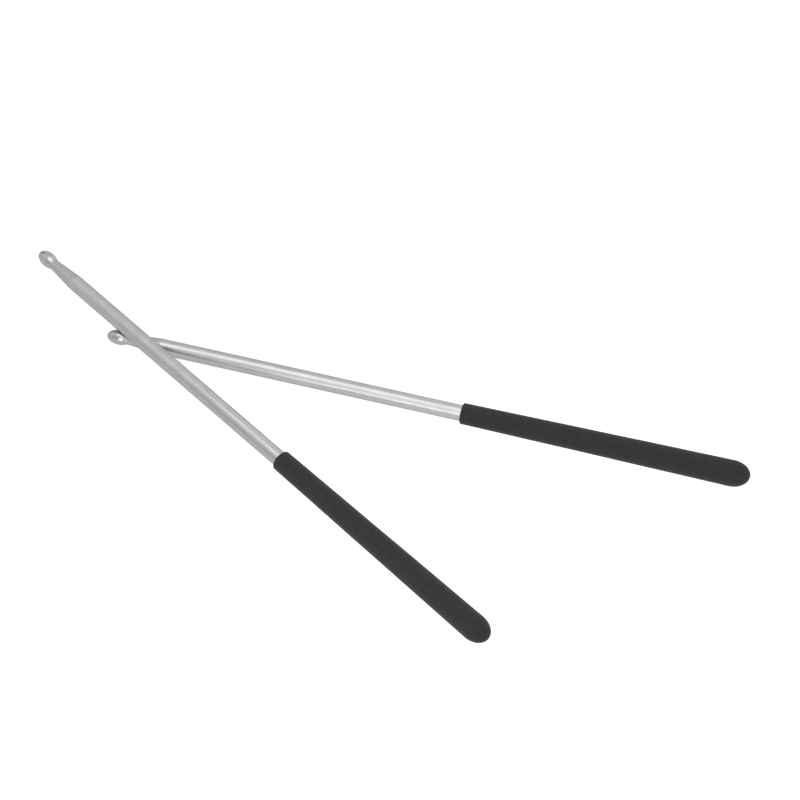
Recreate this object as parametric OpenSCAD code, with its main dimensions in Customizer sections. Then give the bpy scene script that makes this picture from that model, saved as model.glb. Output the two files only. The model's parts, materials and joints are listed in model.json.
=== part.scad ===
// A pair of diabolo hand sticks: aluminium tubes with turned bead tips and foam grips.
// One stick is drawn along +Z, from its tip at z = 0 to the closed end of its grip.
// Both sticks are then laid on the ground plane z = 0: the lower one rests on its grip and
// on the end of its cone, the upper one on its grip and across the lower one's neck.

/* [Stick] */
// Overall length of one stick, tip to closed end of the grip
stick_length = 328; // [300:1:360]
// Outside diameter of the tube
shaft_d = 8; // [7.8:0.1:9]
// Wall thickness of the tube
shaft_wall = 1; // [0.6:0.1:1.4]

/* [Tip] */
// Diameter of the egg-shaped bead at its widest ring
bead_d = 7.4; // [6.6:0.1:7.5]
// Length of the bead in front of its widest ring
bead_front = 6.7; // [4:0.1:7.5]
// Radius of the arc that closes the bead towards the neck
bead_back_radius = 8; // [5:0.5:9]
// Diameter of the neck that the string is tied around
neck_d = 5.5; // [5.2:0.1:6.2]
// Radius of the fillet between bead and neck
neck_fillet = 0.8; // [0.3:0.1:1.5]
// Distance from the tip to the end of the neck, where the cone starts
neck_end = 12.3; // [12.3:0.1:14]
// Length of the cone between the neck and the full diameter
cone_length = 16; // [10:0.5:24]
// Width of the two small bevels that meet where the tip joins the tube
joint_bevel = 0.12; // [0.05:0.01:0.3]
// Length of the tip's spigot inside the tube
spigot_length = 14; // [8:1:25]

/* [Grip] */
// Length of the foam grip, from its open edge to its closed end
grip_length = 143.8; // [120:0.1:160]
// Diameter of the grip at its open edge
grip_front_d = 10.5; // [9.6:0.1:12]
// Diameter of the grip where it is thickest
grip_back_d = 13; // [12:0.1:15]
// Length of the rounded closed end
dome_length = 9.2; // [7:0.1:14]
// Radius of the rounding on the open edge
grip_edge_radius = 0.6; // [0.2:0.1:0.7]
// Thickness of the foam behind the end plug
grip_end_wall = 2.6; // [2:0.1:4]

/* [End plug] */
// Length of the plug's domed head, which covers the end of the tube
plug_head_length = 3.6; // [2.5:0.1:4.5]
// Length of the plug's stem inside the tube
plug_stem_length = 12; // [6:1:20]

/* [Lay] */
// Direction of the lower stick on the ground from tip to grip, turned from +X
lower_heading = -17; // [-40:0.5:0]
// Angle between the two sticks
crossing_angle = 30.3; // [20:0.1:45]
// Distance along the lower stick from its tip to the crossing
lower_crossing = 12.2; // [11:0.1:13]
// Distance along the upper stick from its tip to the crossing
upper_crossing = 70.7; // [50:0.1:120]
// Smallest gap kept between the two sticks at the crossing
crossing_gap = 0.05; // [0.05:0.01:0.3]

/* [Hidden] */
$fn = 96;

// Gap between pieces of one stick that are glued or pushed together
fit_gap = 0.02;
// Bevel on the ends that are pushed into the tube
lead_in = 0.5;
// Straight rim of the plug's head before its dome
plug_rim = 0.8;
// Angle between two points of an outline's arc
arc_step = 7.5;

shaft_r = shaft_d / 2;
bore_r = shaft_r - shaft_wall;
bead_r = bead_d / 2;
neck_r = neck_d / 2;
stem_r = bore_r - fit_gap;
cone_end = neck_end + cone_length;
grip_start = stick_length - grip_length;
grip_front_r = grip_front_d / 2;
grip_back_r = grip_back_d / 2;
dome_start = stick_length - dome_length;
tube_end = stick_length - grip_end_wall - plug_head_length;

// Centre of the neck's fillet, which touches both the bead's back arc and the neck
fillet_drop = bead_back_radius + neck_fillet - (bead_r - neck_r);
fillet_at = bead_front + sqrt(pow(bead_back_radius + neck_fillet, 2) - pow(fillet_drop, 2));
fillet_angle = acos(fillet_drop / (bead_back_radius + neck_fillet));

// Points [radius, distance from the tip] of an ellipse quarter that starts at its widest ring
function quarter_dome(radius, length, start) =
    [for (i = [0 : ceil(90 / arc_step)])
        let (a = min(90, i * arc_step)) [radius * cos(a), start + length * sin(a)]];

bead_front_outline =
    [for (i = [0 : ceil(90 / arc_step)])
        let (a = min(90, i * arc_step)) [bead_r * sin(a), bead_front * (1 - cos(a))]];
bead_back_outline =
    [for (i = [1 : 5])
        let (a = fillet_angle * i / 5)
            [bead_r - bead_back_radius * (1 - cos(a)), bead_front + bead_back_radius * sin(a)]];
neck_outline =
    [for (i = [4 : -1 : 0])
        let (a = fillet_angle * i / 5)
            [neck_r + neck_fillet * (1 - cos(a)), fillet_at - neck_fillet * sin(a)]];
tip_outline = concat(
    bead_front_outline, bead_back_outline, neck_outline,
    [[neck_r, neck_end], [shaft_r, cone_end - joint_bevel], [shaft_r - joint_bevel, cone_end]]);

grip_edge_outline =
    [for (i = [0 : 4])
        let (a = 22.5 * i)
            [grip_front_r - grip_edge_radius * (1 - sin(a)),
             grip_start + grip_edge_radius * (1 - cos(a))]];
grip_outline = concat(grip_edge_outline, quarter_dome(grip_back_r, dome_length, dome_start));

// Height and slope of the lower stick, which stands on the two rings below
cone_ring = cone_end - joint_bevel;
lower_slope = atan((grip_back_r - shaft_r) / (dome_start - cone_ring));
lower_height = shaft_r * cos(lower_slope) - (cone_ring - lower_crossing) * sin(lower_slope);

// Height of the upper stick's axis over the lower one's where they cross: the least height
// at which the upper tube stays clear of every point on the lower bead, neck and cone
crossing_rise = max([for (p = tip_outline, a = [0 : 5 : 180])
    let (aside = (lower_crossing - p[1]) * sin(crossing_angle)
                 - p[0] * cos(a) * cos(crossing_angle),
         reach = shaft_r + crossing_gap)
        abs(aside) < reach ? p[0] * sin(a) + sqrt(reach * reach - aside * aside) : 0]);
upper_height = lower_height + crossing_rise;

// Slope of the upper stick, down from the crossing to the ring of its grip on the ground
grip_ring_arm = dome_start - upper_crossing;
upper_slope = asin(upper_height / norm([grip_ring_arm, grip_back_r]))
              - atan(grip_back_r / grip_ring_arm);
upper_heading = lower_heading - crossing_angle;

// Directions of both sticks from tip to grip, and their tips seen from the crossing
lower_along = [cos(lower_slope) * cos(lower_heading), cos(lower_slope) * sin(lower_heading),
               sin(lower_slope)];
upper_along = [cos(upper_slope) * cos(upper_heading), cos(upper_slope) * sin(upper_heading),
               -sin(upper_slope)];
lower_start = [0, 0, lower_height] - lower_crossing * lower_along;
upper_start = [0, 0, upper_height] - upper_crossing * upper_along;

// How far both sticks reach from the crossing in one direction
whole_outline = concat(tip_outline, grip_outline);
function reach_of(start, along, way) =
    max([for (p = whole_outline)
        (start + p[1] * along) * way + p[0] * sqrt(1 - pow(along * way, 2))]);
function reach(way) =
    max(reach_of(lower_start, lower_along, way), reach_of(upper_start, upper_along, way));

// Moves the middle of the pair's box to the origin
to_middle = [(reach([-1, 0, 0]) - reach([1, 0, 0])) / 2,
             (reach([0, -1, 0]) - reach([0, 1, 0])) / 2, 0];

metal = "silver";
foam = "#393939";
plastic = "#1c1c1c";

module lay_lower() {
    translate(to_middle + lower_start)
        rotate([0, 90 - lower_slope, lower_heading])
            children();
}

module lay_upper() {
    translate(to_middle + upper_start)
        rotate([0, 90 + upper_slope, upper_heading])
            children();
}

// Turned tip: egg-shaped bead, neck, cone and the spigot that is fixed in the tube
module stick_tip() {
    rotate_extrude()
        polygon(concat(tip_outline,
            [[stem_r, cone_end],
             [stem_r, cone_end + spigot_length - lead_in],
             [stem_r - lead_in, cone_end + spigot_length],
             [0, cone_end + spigot_length]]));
}

// Tube from the tip's shoulder to the end plug, most of it bare
module stick_shaft() {
    rotate_extrude()
        polygon([[bore_r, cone_end],
                 [shaft_r - joint_bevel, cone_end],
                 [shaft_r, cone_end + joint_bevel],
                 [shaft_r, tube_end],
                 [bore_r, tube_end]]);
}

// Moulded plug: a stem in the tube and a domed head that keeps its edge off the foam
module stick_end_plug() {
    rotate_extrude()
        polygon(concat(
            [[0, tube_end - plug_stem_length],
             [stem_r - lead_in, tube_end - plug_stem_length],
             [stem_r, tube_end - plug_stem_length + lead_in],
             [stem_r, tube_end],
             [shaft_r, tube_end]],
            quarter_dome(shaft_r, plug_head_length - plug_rim, tube_end + plug_rim)));
}

// Closed-end foam sleeve, thicker towards its rounded end
module stick_grip() {
    inside_r = shaft_r + fit_gap;
    inside_dome = quarter_dome(inside_r, plug_head_length - plug_rim + fit_gap,
                               tube_end + plug_rim);
    last = len(inside_dome) - 1;
    rotate_extrude()
        polygon(concat([[inside_r, grip_start]], grip_outline,
                       [for (i = [last : -1 : 0]) inside_dome[i]]));
}

module lower_tip() { color(metal) lay_lower() stick_tip(); }
module lower_shaft() { color(metal) lay_lower() stick_shaft(); }
module lower_end_plug() { color(plastic) lay_lower() stick_end_plug(); }
module lower_grip() { color(foam) lay_lower() stick_grip(); }
module upper_tip() { color(metal) lay_upper() stick_tip(); }
module upper_shaft() { color(metal) lay_upper() stick_shaft(); }
module upper_end_plug() { color(plastic) lay_upper() stick_end_plug(); }
module upper_grip() { color(foam) lay_upper() stick_grip(); }

lower_tip();
lower_shaft();
lower_end_plug();
lower_grip();
upper_tip();
upper_shaft();
upper_end_plug();
upper_grip();
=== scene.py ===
"""Looks for a pair of diabolo hand sticks: turned aluminium tips, satin tubes and foam grips.

Everything is in metres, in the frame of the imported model. Each stick also has its own space,
with z along the stick from its tip and x level, which the outlines and the materials use.
"""

import json
import math

import bmesh
import bpy
import numpy as np
from mathutils import Matrix, Vector, noise


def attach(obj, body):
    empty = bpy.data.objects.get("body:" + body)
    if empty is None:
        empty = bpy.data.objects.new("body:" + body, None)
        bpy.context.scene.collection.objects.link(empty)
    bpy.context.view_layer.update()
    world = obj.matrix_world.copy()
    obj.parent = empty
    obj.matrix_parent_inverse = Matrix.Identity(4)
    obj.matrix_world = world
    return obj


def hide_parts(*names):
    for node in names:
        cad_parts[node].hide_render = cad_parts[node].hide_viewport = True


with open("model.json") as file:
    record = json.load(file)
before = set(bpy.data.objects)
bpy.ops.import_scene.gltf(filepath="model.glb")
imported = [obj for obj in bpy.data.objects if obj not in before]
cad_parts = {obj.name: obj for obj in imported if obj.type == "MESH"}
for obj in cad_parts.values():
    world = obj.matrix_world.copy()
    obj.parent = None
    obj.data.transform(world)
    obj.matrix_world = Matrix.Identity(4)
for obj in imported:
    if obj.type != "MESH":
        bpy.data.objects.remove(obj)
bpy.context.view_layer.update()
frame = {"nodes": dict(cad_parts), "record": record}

MM = 0.001
STICKS = ("lower", "upper")

# Camera: the point it looks at, where it stands from there, and its lens
LOOK_AT = Vector((7.53, 32.02, 0.0)) * MM
CAMERA_ELEVATION = 48.48
CAMERA_HEADING = -0.075
CAMERA_DISTANCE = 1.58846
SENSOR = 36.0
LENS = 145.30

# Surround: brightness of the plain studio, and (heading from straight ahead, elevation, width
# at full change, width at its edge, added brightness) of each soft screen round it
PLAIN = 1.02
SCREENS = (
    (-100, 12, 10, 50, -0.30),
    (-33, 14, 6, 20, -0.55),
    (-140, 24, 3, 12, -0.6),
    (180, 48.5, 3, 9, -0.95),
)
# Floor: how far it reaches from its middle; then the light painted into it as a glow, which
# washes out the shadows: where the painted light is brightest, how bright it is there and
# away from there, and how far from there it stops fading
FLOOR_REACH = 3.0
PAINTED_LIGHT_MIDDLE = (0.10, -0.10, 0.0)
PAINTED_FLOOR_LIGHT = (1.22, 0.91)
PAINTED_LIGHT_FADE = 0.30
# Soft light panels: middle, the point each one faces, turn, width, height and brightness
PANELS = {
    "overhead_panel": ((-0.027, -0.093, 0.60), (-0.027, -0.093, 0.0), -45, 0.86, 0.45, 1.5),
    "front_panel": ((-0.215, -0.416, 0.26), (0.076, 0.03, 0.26), -9, 0.22, 0.52, 2.2),
    "left_panel": ((-0.60, 0.18, 0.28), (0.0, 0.18, 0.28), 0, 0.44, 0.46, 0.25),
    "back_panel": ((0.34, 0.62, 0.50), (0.34, 0.0, 0.50), 0, 0.60, 0.80, 0.32),
}

# Tip: distances from its front between which the bead's polish gives way to the cone's satin
POLISH_ENDS = (10.3 * MM, 12.8 * MM)

# Meshes: sides of a ring, steps along arcs and straights, the longest chord of an arc, and the
# turns that are a sharp edge or that are too slight to be a corner
SIDES = 128
ARC_PITCH = 0.12 * MM
STRAIGHT_PITCH = 0.6 * MM
LONGEST_CHORD = 1.5 * MM
SHARP_TURN = math.radians(20)
LEAST_TURN = math.radians(1)
# Radii up to the first count as none in a CAD ring, and up to the second in a finished outline
ON_AXIS = 0.002 * MM
ONE_POINT = 0.0001 * MM
# Vertices this close to a recent ring belong to it, and how many rings count as recent
SAME_RING = 0.004 * MM
RECENT_RINGS = 6
# Least step along a grip from one point of its outside to the next, and its thinnest wall
NEXT_POINT = 0.001 * MM
THINNEST_FOAM = 0.2 * MM
# Waves in the foam: fineness of the noise round the grip, its length along the grip, its height
WIDE_WAVES = (0.7, 22 * MM, 0.05 * MM)
SMALL_WAVES = (2.2, 4 * MM, 0.02 * MM)
# How far the middle of a grip's closed end is off the axis: level, up and along the stick
DOME_LEAN = Vector((-0.15, 0.4, 0.0)) * MM


# ---------------------------------------------------------------- stick space

def stick_space(stick):
    """Matrix from a stick's own space to the frame: tip at the origin, z towards the grip."""
    mounts = frame["record"]["mounts"]
    neck = next(m for m in mounts if m["name"] == f"{stick}_string_neck")
    along = -Vector(neck["axis"]).normalized()
    level = Vector((0, 0, 1)).cross(along).normalized()
    on_axis = Vector(neck["pos_m"])
    tip = frame["nodes"][f"{stick}_tip"].data
    start = min((v.co - on_axis).dot(along) for v in tip.vertices)
    turn = Matrix((level, along.cross(level), along)).transposed()
    return Matrix.Translation(on_axis + start * along) @ turn.to_4x4()


SPACE = {stick: stick_space(stick) for stick in STICKS}


def cad_rings(stick, part):
    """(distance, radius) of each ring of vertices of a CAD node, from the tip on."""
    inverse = SPACE[stick].inverted()
    rings = []
    points = [inverse @ v.co for v in frame["nodes"][f"{stick}_{part}"].data.vertices]
    for point in sorted(points, key=lambda p: p.z):
        radius = math.hypot(point.x, point.y)
        ring = (max(0.0, point.z), radius if radius > ON_AXIS else 0.0)
        if not any(math.dist(ring, other) < SAME_RING for other in rings[-RECENT_RINGS:]):
            rings.append(ring)
    return rings


# ------------------------------------------------------------------- outlines

def turn_at(before, here, after):
    """Angle that an outline turns through at a point, positive towards larger radii."""
    way_in = math.atan2(here[1] - before[1], here[0] - before[0])
    way_out = math.atan2(after[1] - here[1], after[0] - here[0])
    return (way_out - way_in + math.pi) % (2 * math.pi) - math.pi


def corners(points):
    """The points where an outline turns."""
    kept = [points[0]]
    for here, after in zip(points[1:], points[2:]):
        if abs(turn_at(kept[-1], here, after)) > LEAST_TURN:
            kept.append(here)
    return kept + [points[-1]]


def rounded(points):
    """An outline with smooth curves in place of the short chords of its arcs."""
    points = [np.array(p) for p in corners(points)]
    steps = [b - a for a, b in zip(points, points[1:])]
    lengths = [np.linalg.norm(s) for s in steps]
    ways = [s / length for s, length in zip(steps, lengths)]
    arriving, leaving = [None], []
    square = np.array((0.0, 1.0))
    leaving.append(square if points[0][1] < ON_AXIS and lengths[0] < LONGEST_CHORD else ways[0])
    for i in range(1, len(points) - 1):
        turn = turn_at(points[i - 1], points[i], points[i + 1])
        before_is_long, after_is_long = (lengths[j] > LONGEST_CHORD for j in (i - 1, i))
        if abs(turn) > SHARP_TURN or (before_is_long and after_is_long):
            arriving.append(ways[i - 1])
            leaving.append(ways[i])
            continue
        if before_is_long or after_is_long:
            way = ways[i - 1] if before_is_long else ways[i]
        else:
            way = ways[i - 1] * lengths[i] + ways[i] * lengths[i - 1]
        way = way / np.linalg.norm(way)
        arriving.append(way)
        leaving.append(way)
    closes = points[-1][1] < ON_AXIS and lengths[-1] < LONGEST_CHORD
    arriving.append(-square if closes else ways[-1])
    out = []
    for i, length in enumerate(lengths):
        is_long = length > LONGEST_CHORD
        count = math.ceil(length / (STRAIGHT_PITCH if is_long else ARC_PITCH))
        a, b = (ways[i], ways[i]) if is_long else (leaving[i], arriving[i + 1])
        for k in range(count):
            t = k / count
            out.append((2 * t ** 3 - 3 * t ** 2 + 1) * points[i]
                       + (t ** 3 - 2 * t ** 2 + t) * length * a
                       + (3 * t ** 2 - 2 * t ** 3) * points[i + 1]
                       + (t ** 3 - t ** 2) * length * b)
    out.append(points[-1])
    return [(float(z), max(0.0, float(r))) for z, r in out]


def tip_outline(stick):
    """Outline of a tip, from the front of its bead round to the end of its spigot."""
    rings = {}
    for distance, radius in cad_rings(stick, "tip"):
        rings[round(distance, 5)] = max(radius, rings.get(round(distance, 5), 0.0))
    rings = sorted(rings.items())
    widest = max(range(len(rings)), key=lambda i: rings[i][1])
    seen, spigot = rings[:widest + 2], rings[widest + 2:]
    return (rounded(seen) + [(seen[-1][0], spigot[0][1])] + corners(spigot)
            + [(spigot[-1][0], 0.0)])


def plug_outline(stick):
    """Outline of an end plug, from the front of its stem to the top of its head."""
    rings = sorted(cad_rings(stick, "end_plug"), key=lambda p: (round(p[0], 5), p[1]))
    front = (rings[0][0], 0.0)
    return [front] + rounded([p for p in rings if p[1] > 0 or p[0] > front[0] + ON_AXIS])


def grip_outlines(stick):
    """Outlines of a grip's outside and of its bore, both from the open edge to the axis."""
    rings = sorted(cad_rings(stick, "grip"), key=lambda p: (round(p[0], 6), -p[1]))
    outside = []
    for ring in rings:
        while len(outside) > 1 and turn_at(outside[-2], outside[-1], ring) > 0:
            outside.pop()
        if not outside or ring[0] > outside[-1][0] + NEXT_POINT:
            outside.append(ring)
    distances, radii = zip(*outside)
    bore = [p for p in rings if p[1] < np.interp(p[0], distances, radii) - THINNEST_FOAM]
    return rounded(outside), rounded(bore)


# --------------------------------------------------------------------- meshes

def revolve(name, outline, stick, shape=None, shaped=0):
    """Mesh object of an outline turned about a stick's axis, which closes it at both ends.

    shape(point) gives a point of the first shaped rings its final place."""
    mesh = bmesh.new()
    rings = []
    for number, (distance, radius) in enumerate(outline):
        angles = [2 * math.pi * i / SIDES for i in range(SIDES)] if radius > ONE_POINT else [0.0]
        ring = [Vector((radius * math.cos(a), radius * math.sin(a), distance)) for a in angles]
        if number < shaped:
            ring = [shape(point) for point in ring]
        rings.append([mesh.verts.new(point) for point in ring])
    for one, two in zip(rings, rings[1:]):
        for i in range(SIDES):
            k = (i + 1) % SIDES
            corner = [one[i % len(one)], one[k % len(one)], two[k % len(two)], two[i % len(two)]]
            mesh.faces.new(list(dict.fromkeys(corner))).smooth = True
    for ring, *around in zip(rings[1:], outline, outline[1:], outline[2:]):
        if len(ring) > 1 and abs(turn_at(*around)) > SHARP_TURN:
            for i in range(SIDES):
                mesh.edges.get((ring[i], ring[(i + 1) % SIDES])).smooth = False
    bmesh.ops.recalc_face_normals(mesh, faces=mesh.faces)
    if mesh.calc_volume(signed=True) < 0:
        bmesh.ops.reverse_faces(mesh, faces=mesh.faces)
    data = bpy.data.meshes.new(name)
    mesh.to_mesh(data)
    mesh.free()
    data.transform(SPACE[stick])
    piece = bpy.data.objects.new(name, data)
    bpy.context.scene.collection.objects.link(piece)
    return piece


# ------------------------------------------------------------------ materials

class Nodes:
    """Short calls for building a node tree."""

    def __init__(self, tree):
        self.tree = tree

    def add(self, kind, settings=None, **inputs):
        node = self.tree.nodes.new(kind)
        for key, value in (settings or {}).items():
            setattr(node, key, value)
        for key, value in inputs.items():
            self.put(node, key.replace("_", " "), value)
        return node

    def put(self, node, socket, value):
        if isinstance(value, bpy.types.NodeSocket):
            self.tree.links.new(value, node.inputs[socket])
        else:
            node.inputs[socket].default_value = value

    def maths(self, operation, a, b=0.0):
        node = self.add("ShaderNodeMath", {"operation": operation})
        self.put(node, 0, a)
        self.put(node, 1, b)
        return node.outputs[0]

    def ramp(self, value, low, high, start=0.0, end=1.0):
        """low to high, smoothly, while value goes from start to end."""
        node = self.add("ShaderNodeMapRange", {"interpolation_type": "SMOOTHSTEP"}, Value=value,
                        From_Min=start, From_Max=end, To_Min=low, To_Max=high)
        return node.outputs["Result"]

    def stick_place(self, stick):
        """Position in the stick's own space, in metres."""
        where = self.add("ShaderNodeTexCoord").outputs["Object"]
        node = self.add("ShaderNodeMapping", {"vector_type": "TEXTURE"}, Vector=where,
                        Location=SPACE[stick].to_translation(), Rotation=SPACE[stick].to_euler())
        return node.outputs["Vector"]

    def grain_space(self, vector, across, along):
        """Coordinates for a texture whose grains are across wide and along long, in metres."""
        node = self.add("ShaderNodeMapping", {"vector_type": "POINT"}, Vector=vector,
                        Scale=(1 / across, 1 / across, 1 / along))
        return node.outputs["Vector"]

    def grain(self, vector, across, along, detail=3.0, roughness=0.5):
        node = self.add("ShaderNodeTexNoise", Vector=self.grain_space(vector, across, along),
                        Scale=1.0, Detail=detail, Roughness=roughness)
        return node.outputs["Fac"]

    def greys(self, value, dark, light):
        """Grey from dark to light while value goes from 0 to 1."""
        node = self.add("ShaderNodeMix", {"data_type": "RGBA"})
        self.put(node, 0, value)
        self.put(node, 6, (dark, dark, dark, 1))
        self.put(node, 7, (light, light, light, 1))
        return node.outputs[2]

    def bump(self, height, depth, strength=1.0, over=None):
        node = self.add("ShaderNodeBump", Height=height, Distance=depth, Strength=strength)
        if over is not None:
            self.put(node, "Normal", over)
        return node.outputs["Normal"]


def new_material(name):
    """A material, the calls for its node tree, and its shader."""
    material = bpy.data.materials.new(name)
    material.use_nodes = True
    tree = material.node_tree
    return material, Nodes(tree), tree.nodes["Principled BSDF"]


def shade(nodes, shader, **inputs):
    """Sets or links a shader's inputs by name, with _ for each space."""
    for key, value in inputs.items():
        nodes.put(shader, key.replace("_", " "), value)


def satin_aluminium(stick):
    """Drawn tube with a satin finish: fine lengthwise lines over a slightly cloudy surface."""
    material, n, shader = new_material(f"satin_aluminium_{stick}")
    place = n.stick_place(stick)
    lines = n.grain(place, 0.06 * MM, 30 * MM, 4.0, 0.6)
    cloud = n.grain(place, 4 * MM, 9 * MM, 2.0)
    fine = n.grain(place, 0.25 * MM, 0.25 * MM, 2.0)
    mixed = n.maths("ADD", n.maths("MULTIPLY", lines, 0.6), n.maths("MULTIPLY", cloud, 0.4))
    shade(n, shader,
          Base_Color=n.greys(n.ramp(mixed, 0.0, 1.0, 0.3, 0.7), 0.37, 0.45),
          Metallic=1.0, Specular_Tint=(0.55, 0.55, 0.55, 1),
          Roughness=n.ramp(lines, 0.22, 0.52, 0.42, 0.58),
          Normal=n.bump(fine, 0.004 * MM, 1.0, n.bump(lines, 0.006 * MM)))
    return material


def turned_aluminium(stick):
    """Turned tip: rings from the lathe, polished on the bead and satin on the cone."""
    material, n, shader = new_material(f"turned_aluminium_{stick}")
    place = n.stick_place(stick)
    along = n.add("ShaderNodeSeparateXYZ", Vector=place).outputs["Z"]
    on_cone = n.ramp(along, 0.0, 1.0, *POLISH_ENDS)
    rings = n.grain(place, 40 * MM, 0.10 * MM, 3.0, 0.7)
    cloud = n.grain(place, 3 * MM, 3 * MM, 2.0)
    shade(n, shader,
          Base_Color=n.greys(cloud, 0.35, 0.43),
          Metallic=1.0, Specular_Tint=(0.55, 0.55, 0.55, 1),
          Roughness=n.maths("ADD", n.ramp(on_cone, 0.21, 0.28), n.maths("MULTIPLY", cloud, 0.06)),
          Normal=n.bump(n.maths("MULTIPLY", rings, n.ramp(on_cone, 0.15, 1.0)), 0.008 * MM))
    return material


def foam_rubber(stick):
    """Matt black closed-cell foam: fine pores with painted shade in them, faint mottling and a
    soft sheen at the rim.
    """
    material, n, shader = new_material(f"foam_rubber_{stick}")
    place = n.stick_place(stick)
    cells = n.add("ShaderNodeTexVoronoi", {"feature": "SMOOTH_F1"},
                  Vector=n.grain_space(place, 0.38 * MM, 0.38 * MM), Scale=1.0, Smoothness=0.35)
    pores = n.add("ShaderNodeTexVoronoi", {"feature": "F1"},
                  Vector=n.grain_space(place, 1.1 * MM, 1.1 * MM), Scale=1.0)
    pits = n.ramp(pores.outputs["Distance"], 0.0, 1.0, 0.05, 0.22)
    mottle = n.grain(place, 2.2 * MM, 2.2 * MM, 4.0, 0.6)
    fine = n.grain(place, 0.12 * MM, 0.12 * MM, 2.0, 0.6)
    # Darker colour in the pits is painted shade in the pores; the mottling is the foam's own
    # uneven tone
    mottle_and_pore_shade = n.maths("MULTIPLY", n.ramp(mottle, 0.55, 1.0, 0.3, 0.7), n.ramp(pits, 0.6, 1.0))
    height = n.maths("ADD", n.maths("MULTIPLY", cells.outputs["Distance"], 0.55),
                     n.maths("ADD", n.maths("MULTIPLY", fine, 0.35),
                             n.maths("MULTIPLY", pits, 0.6)))
    shade(n, shader,
          Base_Color=n.greys(mottle_and_pore_shade, 0.0092, 0.0205),
          Roughness=0.92, Specular_IOR_Level=0.25,
          Sheen_Weight=0.12, Sheen_Roughness=0.45, Sheen_Tint=(0.8, 0.8, 0.8, 1),
          Normal=n.bump(height, 0.07 * MM, 0.8))
    return material


def moulded_plastic(stick):
    """Black moulded plastic with a fine spark-eroded grain."""
    material, n, shader = new_material(f"moulded_plastic_{stick}")
    grain = n.grain(n.stick_place(stick), 0.2 * MM, 0.2 * MM)
    shade(n, shader, Base_Color=n.greys(grain, 0.012, 0.03), Roughness=n.ramp(grain, 0.45, 0.65),
          Normal=n.bump(grain, 0.01 * MM))
    return material


def studio_floor():
    """Plain white floor: its white is painted light, a glow that is brightest at one spot and
    fades away from it, and that washes out the shadows on it.
    """
    material, n, shader = new_material("studio_floor")
    where = n.add("ShaderNodeTexCoord").outputs["Object"]
    off = n.add("ShaderNodeVectorMath", {"operation": "DISTANCE"})
    n.put(off, 0, where)
    n.put(off, 1, PAINTED_LIGHT_MIDDLE)
    # The floor's light is painted in: an emission that is brightest at one spot and fades away
    # from it
    painted_light = n.ramp(off.outputs["Value"], *PAINTED_FLOOR_LIGHT, 0.0, PAINTED_LIGHT_FADE)
    shade(n, shader, Base_Color=n.greys(n.grain(where, 0.05, 0.05), 0.11, 0.12), Roughness=1.0,
          Specular_IOR_Level=0.0, Emission_Color=(1, 1, 1, 1), Emission_Strength=painted_light)
    return material


# --------------------------------------------------------------------- pieces

def wave(around, distance, waves, seed):
    """Height of one kind of wave at a place on a grip."""
    fineness, length, height = waves
    return height * noise.noise(around * fineness + Vector((0, 0, distance / length)) + seed)


def uneven_foam(stick, dome_start, dome_length):
    """How the outside of a foam grip departs from a true solid of revolution: it is slightly
    wavy, and the closed end leans a little to one side."""
    seed = Vector((0.0, 0.0, 7.0 * STICKS.index(stick)))

    def shape(point):
        around = Vector((point.x, point.y, 0)).normalized()
        wide = wave(around, point.z, WIDE_WAVES, seed)
        small = wave(around, point.z, SMALL_WAVES, -seed)
        past = max(0.0, (point.z - dome_start) / dome_length)
        lean = DOME_LEAN * past ** 1.5
        return point + around * (wide + small) + lean

    return shape


def place(piece, stick, part, slot, material):
    """The piece takes the place of a CAD node of its stick."""
    piece.data.materials.append(material)
    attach(piece, f"{stick}_stick")
    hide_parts(f"{stick}_{part}")


for stick in STICKS:
    turned = revolve(f"{stick}_turned_tip", tip_outline(stick), stick)
    place(turned, stick, "tip", "turned_tip", turned_aluminium(stick))

    outside, bore = grip_outlines(stick)
    dome_start, end = max(outside, key=lambda p: p[1])[0], outside[-1][0]
    foam = revolve(f"{stick}_foam_grip", outside[::-1] + bore, stick,
                   uneven_foam(stick, dome_start, end - dome_start), len(outside))
    place(foam, stick, "grip", "foam", foam_rubber(stick))

    plug = revolve(f"{stick}_moulded_plug", plug_outline(stick), stick)
    place(plug, stick, "end_plug", "plug", moulded_plastic(stick))

    tube = frame["nodes"][f"{stick}_shaft"]
    tube.data.materials.clear()
    tube.data.materials.append(satin_aluminium(stick))


# --------------------------------------------------------------------- studio

def direction(heading, elevation):
    """Unit vector; heading 0 is straight ahead of the camera and positive to the right."""
    h, e = math.radians(heading), math.radians(elevation)
    return Vector((math.sin(h) * math.cos(e), math.cos(h) * math.cos(e), math.sin(e)))


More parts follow.
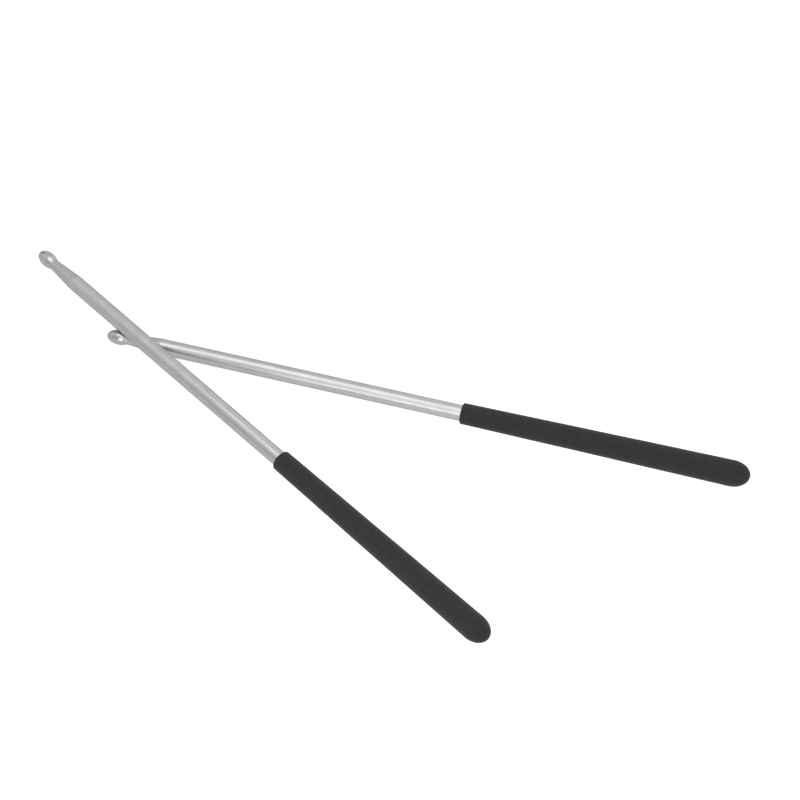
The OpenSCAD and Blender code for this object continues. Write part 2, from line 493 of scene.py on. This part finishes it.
def build_floor():
    """Plain floor under both sticks."""
    mesh = bmesh.new()
    bmesh.ops.create_grid(mesh, x_segments=8, y_segments=8, size=FLOOR_REACH)
    data = bpy.data.meshes.new("studio_floor")
    mesh.to_mesh(data)
    mesh.free()
    floor = bpy.data.objects.new("studio_floor", data)
    bpy.context.scene.collection.objects.link(floor)
    floor.data.materials.append(studio_floor())


def build_surround():
    """Soft studio all round, with darker screens in it."""
    world = bpy.data.worlds.new("studio_surround")
    bpy.context.scene.world = world
    world.use_nodes = True
    n = Nodes(world.node_tree)
    looking = n.add("ShaderNodeTexCoord").outputs["Generated"]
    light = PLAIN
    for heading, elevation, full, edge, gain in SCREENS:
        facing = n.add("ShaderNodeVectorMath", {"operation": "DOT_PRODUCT"})
        n.put(facing, 0, looking)
        n.put(facing, 1, direction(heading, elevation))
        cosines = [math.cos(math.radians(a)) for a in (edge, full)]
        light = n.maths("ADD", n.ramp(facing.outputs["Value"], 0.0, gain, *cosines), light)
    n.put(world.node_tree.nodes["Background"], "Strength", light)
    n.put(world.node_tree.nodes["Background"], "Color", (1, 1, 1, 1))


def build_panels():
    """Soft light panels, each turned about the line it faces along."""
    for name, (middle, faces, turn, width, height, brightness) in PANELS.items():
        data = bpy.data.lights.new(name, "AREA")
        data.shape = "RECTANGLE"
        data.size, data.size_y = width, height
        data.energy = brightness * math.pi * width * height
        panel = bpy.data.objects.new(name, data)
        panel.location = middle
        facing = (Vector(faces) - Vector(middle)).to_track_quat("-Z", "Y").to_matrix()
        panel.rotation_euler = (facing @ Matrix.Rotation(math.radians(turn), 3, "Z")).to_euler()
        bpy.context.scene.collection.objects.link(panel)


def build_camera():
    """Camera at the photo's viewing angle."""
    data = bpy.data.cameras.new("camera")
    data.sensor_width = SENSOR
    data.lens = LENS
    data.clip_end = 20
    camera = bpy.data.objects.new("camera", data)
    camera.location = LOOK_AT + CAMERA_DISTANCE * direction(180 - CAMERA_HEADING,
                                                            CAMERA_ELEVATION)
    camera.rotation_euler = (math.radians(90 - CAMERA_ELEVATION), 0,
                             math.radians(CAMERA_HEADING))
    bpy.context.scene.collection.objects.link(camera)
    bpy.context.scene.camera = camera


build_floor()
build_surround()
build_panels()
build_camera()
bpy.context.scene.view_settings.view_transform = "Standard"
